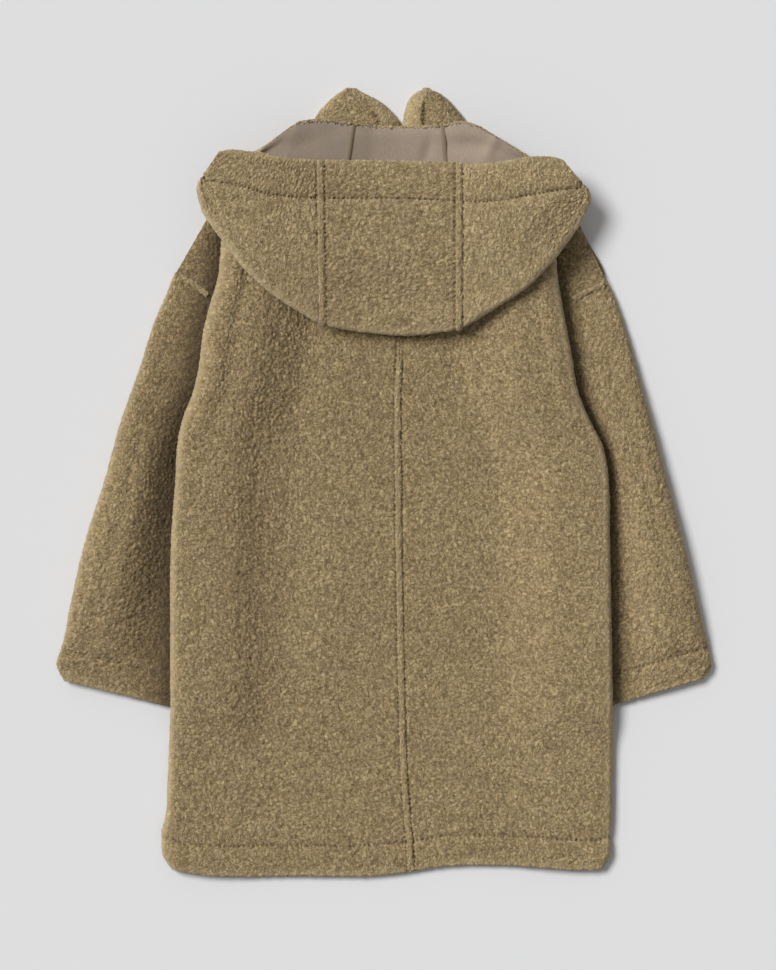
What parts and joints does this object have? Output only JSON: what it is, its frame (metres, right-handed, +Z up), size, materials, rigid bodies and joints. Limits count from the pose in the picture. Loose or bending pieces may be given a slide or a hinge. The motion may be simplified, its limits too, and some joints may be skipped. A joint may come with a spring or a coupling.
{
  "type": "teddy coat",
  "caption": "Hooded teddy coat of bonded pile cloth laid flat on its front, back up, with long sleeves beside the body and the hood folded down over the back",
  "frame": {"origin": "centre of the bounding box's base, on the surface that the coat lies on", "axes": "+X to the right and +Y towards the hood as seen from above the coat's back, +Z up"},
  "size_m": [0.762, 0.9163, 0.0573],
  "materials": {
    "teddy": "curly matt pile",
    "hood_cloth": "curly matt pile outside, smooth brushed suede inside",
    "suede": "smooth brushed suede",
    "seam": "curly matt pile over a stitched seam"
  },
  "bodies": {
    "root": {"back_left": "teddy", "back_right": "teddy", "back_left_shoulder": "teddy", "back_right_shoulder": "teddy", "front_left": "teddy", "front_right": "teddy", "sleeve_left": "teddy", "sleeve_right": "teddy", "front_tip_left": "teddy", "front_tip_right": "teddy", "hood_left": "hood_cloth", "hood_centre": "hood_cloth", "hood_right": "hood_cloth", "hood_inner_seam_left": "suede", "hood_inner_seam_right": "suede", "hood_seam_left": "seam", "hood_seam_right": "seam", "centre_back_seam": "seam", "armhole_seam_left": "seam", "armhole_seam_right": "seam"}
  },
  "joints": []
}
